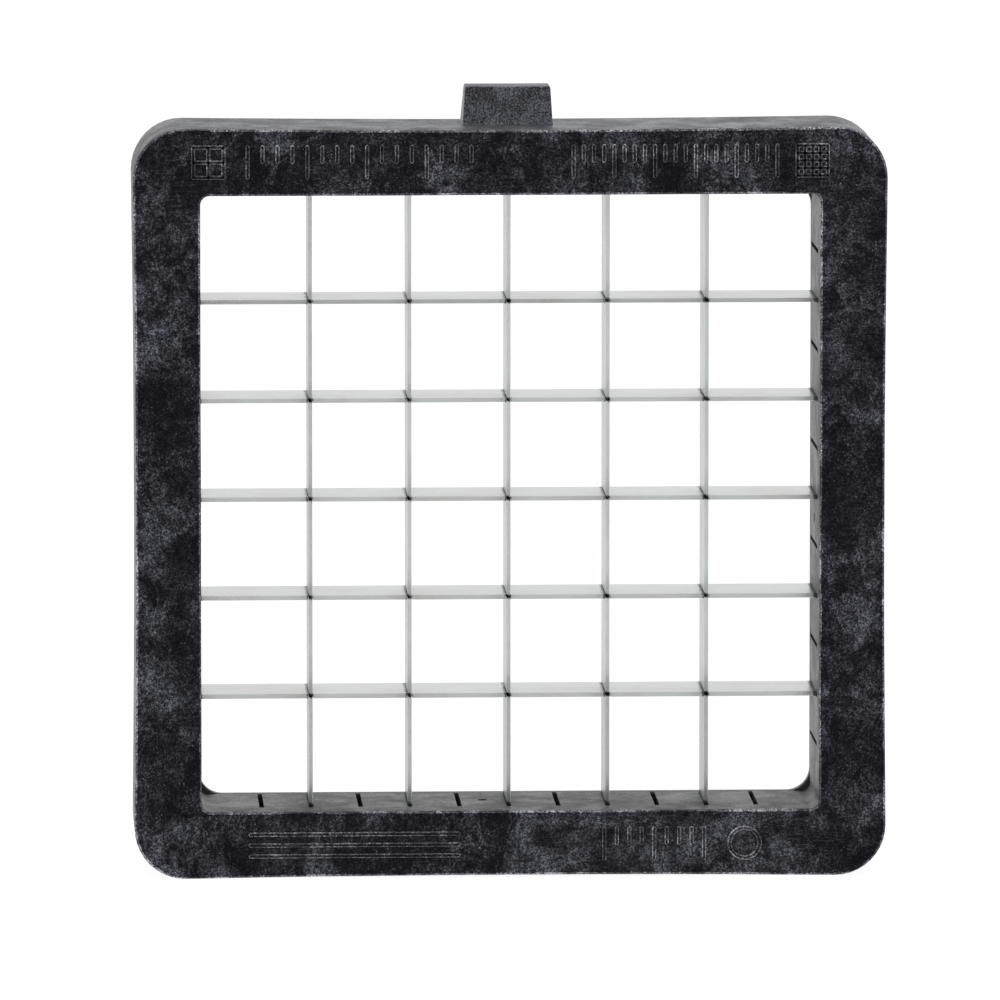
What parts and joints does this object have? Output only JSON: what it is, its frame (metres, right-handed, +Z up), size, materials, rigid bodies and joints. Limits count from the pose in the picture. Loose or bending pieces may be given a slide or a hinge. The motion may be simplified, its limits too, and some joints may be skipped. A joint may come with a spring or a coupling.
{
  "type": "vegetable dicer blade cartridge",
  "caption": "Square moulded frame holding an egg-crate grid of steel blades that cubes vegetables pushed through it, with a top locating lug.",
  "frame": {"origin": "middle of the bottom face, in line with the middle of the object's depth, with the cartridge standing upright", "axes": "+Z up towards the locating lug, +Y from the cutting side to the rear retainer, +X to the right as seen from the cutting side"},
  "size_m": [0.0962, 0.0194, 0.1009],
  "materials": {
    "frame_plastic": "scuffed charcoal-black moulded plastic",
    "retainer_plastic": "black moulded plastic",
    "blade_steel": "satin stainless with ground bevels",
    "screw_steel": "plain stainless"
  },
  "bodies": {
    "root": {"blade_frame": "frame_plastic", "rear_retainer": "retainer_plastic", "horizontal_blade_1": "blade_steel", "horizontal_blade_2": "blade_steel", "horizontal_blade_3": "blade_steel", "horizontal_blade_4": "blade_steel", "horizontal_blade_5": "blade_steel", "vertical_blade_1": "blade_steel", "vertical_blade_2": "blade_steel", "vertical_blade_3": "blade_steel", "vertical_blade_4": "blade_steel", "vertical_blade_5": "blade_steel", "retainer_screws": "screw_steel"}
  },
  "joints": []
}
